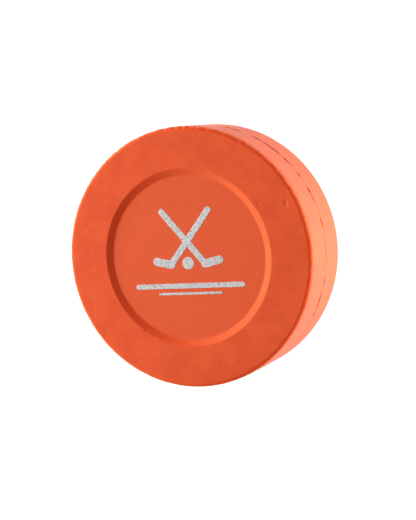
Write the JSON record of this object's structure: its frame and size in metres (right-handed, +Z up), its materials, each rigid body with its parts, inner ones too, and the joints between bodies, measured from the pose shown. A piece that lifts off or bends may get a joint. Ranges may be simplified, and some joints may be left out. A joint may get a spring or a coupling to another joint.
{
  "type": "hockey puck",
  "caption": "Soft hollow rubber puck for floor and street hockey: bonded moulded halves, flat ring faces around a shallow recessed panel with a printed mark.",
  "frame": {"origin": "centre of the underside, on the puck's axis", "axes": "+Z up along the puck's axis, out of the printed face; +Y towards the top of the printed mark; +X to the mark's right"},
  "size_m": [0.0762, 0.0762, 0.0254],
  "materials": {
    "orange_rubber": "matte",
    "rubber_cement": "matte",
    "grey_ink": "matte"
  },
  "bodies": {
    "root": {"front_half_shell": "orange_rubber", "back_half_shell": "orange_rubber", "seam_bond_film": "rubber_cement", "printed_sticks": "grey_ink", "printed_puck_dot": "grey_ink", "printed_stripe": "grey_ink", "printed_fine_stripe": "grey_ink"}
  },
  "joints": []
}
